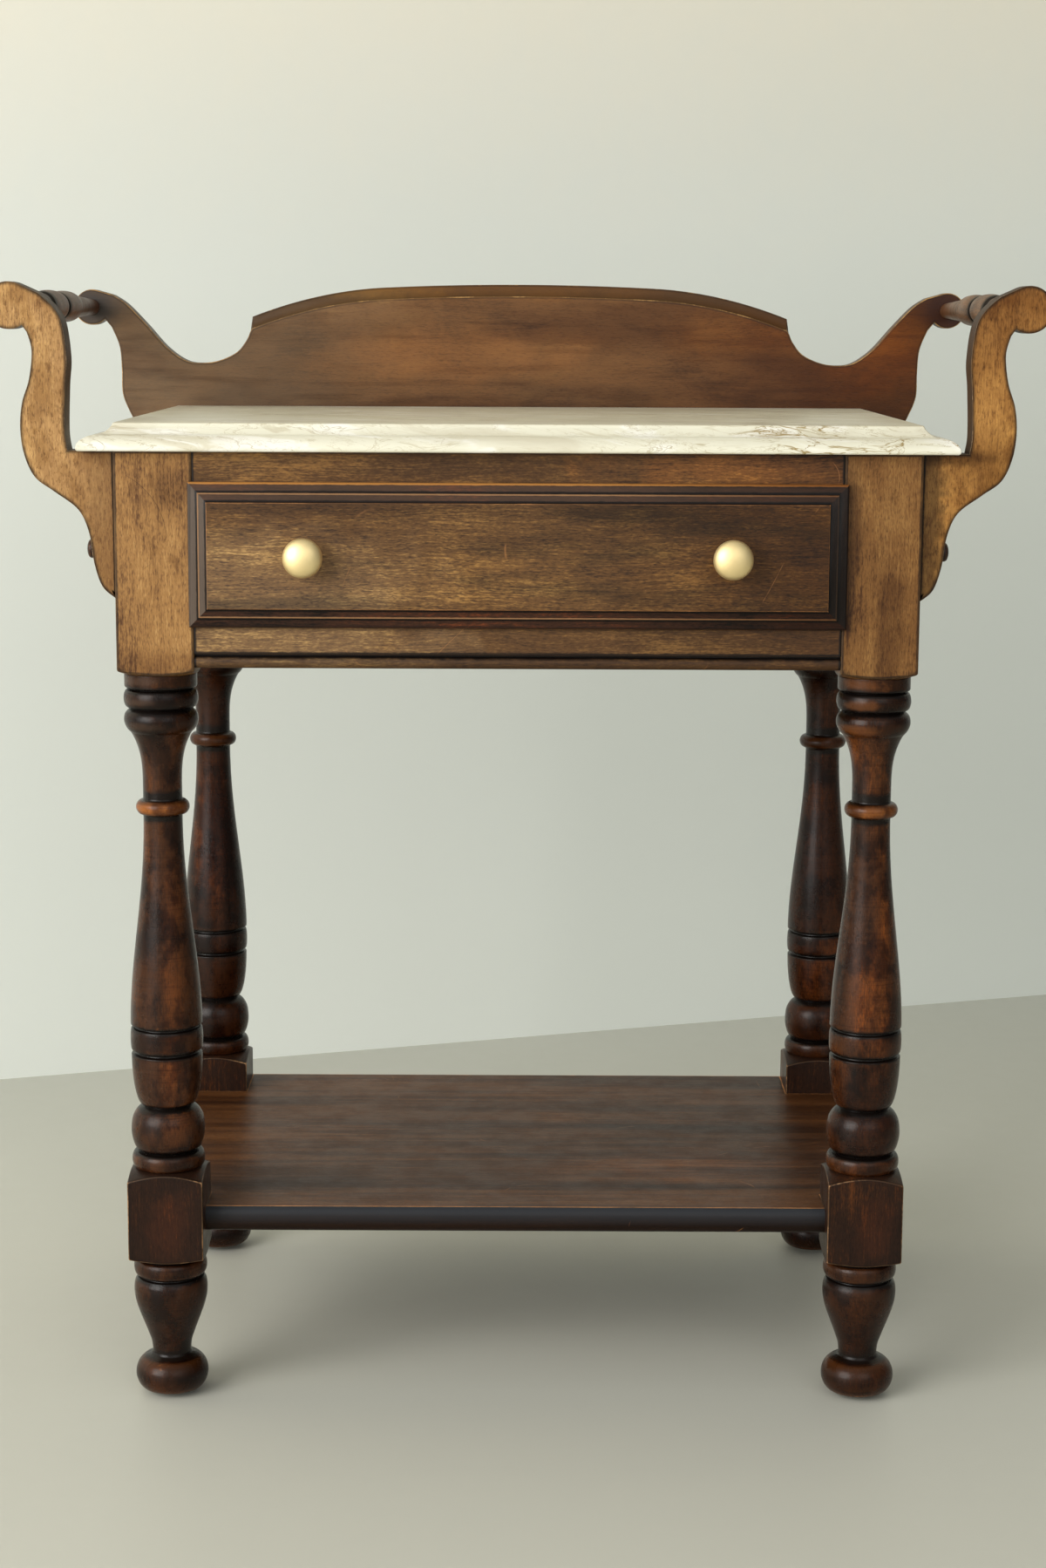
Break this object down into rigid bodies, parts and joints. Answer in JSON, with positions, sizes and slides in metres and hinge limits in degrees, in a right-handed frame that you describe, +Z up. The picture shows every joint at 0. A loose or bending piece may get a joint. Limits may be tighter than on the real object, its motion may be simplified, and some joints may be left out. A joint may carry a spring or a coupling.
{
  "type": "washstand",
  "caption": "Washstand on turned legs: a drawer under a marble slab, curved arms holding towel bars, an arched board behind and a low shelf.",
  "frame": {"origin": "on the floor, at the centre of the whole footprint from the knobs to the back of the back board", "axes": "+Z up, +X to the right seen from the front, -Y the way the drawer opens"},
  "size_m": [0.769, 0.4556, 0.85],
  "materials": {
    "marble": "honed cream marble with tan veins",
    "leg_wood": "satin walnut stain, lighter on the square posts",
    "case_wood": "satin mid-brown stain, worn at the edges",
    "drawer_wood": "satin brown stain with dark mouldings",
    "arm_wood": "satin golden-brown stain with dark edges",
    "board_wood": "satin reddish-brown stain",
    "bar_wood": "satin dark stain",
    "shelf_wood": "satin dark walnut stain",
    "inner_wood": "bare wood",
    "knob_brass": "satin",
    "screw_steel": "plain",
    "glide_steel": "plain"
  },
  "bodies": {
    "stand": {"marble_slab": "marble", "leg_front_left": "leg_wood", "leg_front_right": "leg_wood", "leg_back_left": "leg_wood", "leg_back_right": "leg_wood", "foot_glides": "glide_steel", "front_top_rail": "case_wood", "front_lower_rail": "case_wood", "rail_bead": "case_wood", "side_apron_left": "case_wood", "side_apron_right": "case_wood", "back_apron": "case_wood", "drawer_runner_left": "inner_wood", "drawer_runner_right": "inner_wood", "drawer_guide_left": "inner_wood", "drawer_guide_right": "inner_wood", "drawer_kicker_left": "inner_wood", "drawer_kicker_right": "inner_wood", "front_arm_left": "arm_wood", "front_arm_right": "arm_wood", "arm_screws": "screw_steel", "arm_plugs": "shelf_wood", "arm_dowels": "inner_wood", "back_board": "board_wood", "back_board_screws": "screw_steel", "towel_bar_left": "bar_wood", "towel_bar_right": "bar_wood", "shelf": "shelf_wood", "shelf_dowels": "inner_wood"},
    "drawer": {"drawer_front": "drawer_wood", "drawer_side_left": "inner_wood", "drawer_side_right": "inner_wood", "drawer_back": "inner_wood", "drawer_bottom": "inner_wood", "knob_left": "knob_brass", "knob_right": "knob_brass", "knob_screws": "screw_steel"}
  },
  "joints": [
    {"name": "drawer_slide", "type": "slide", "parent": "stand", "child": "drawer", "axis": [0, -1, 0], "range_m": [0, 0.26]}
  ]
}
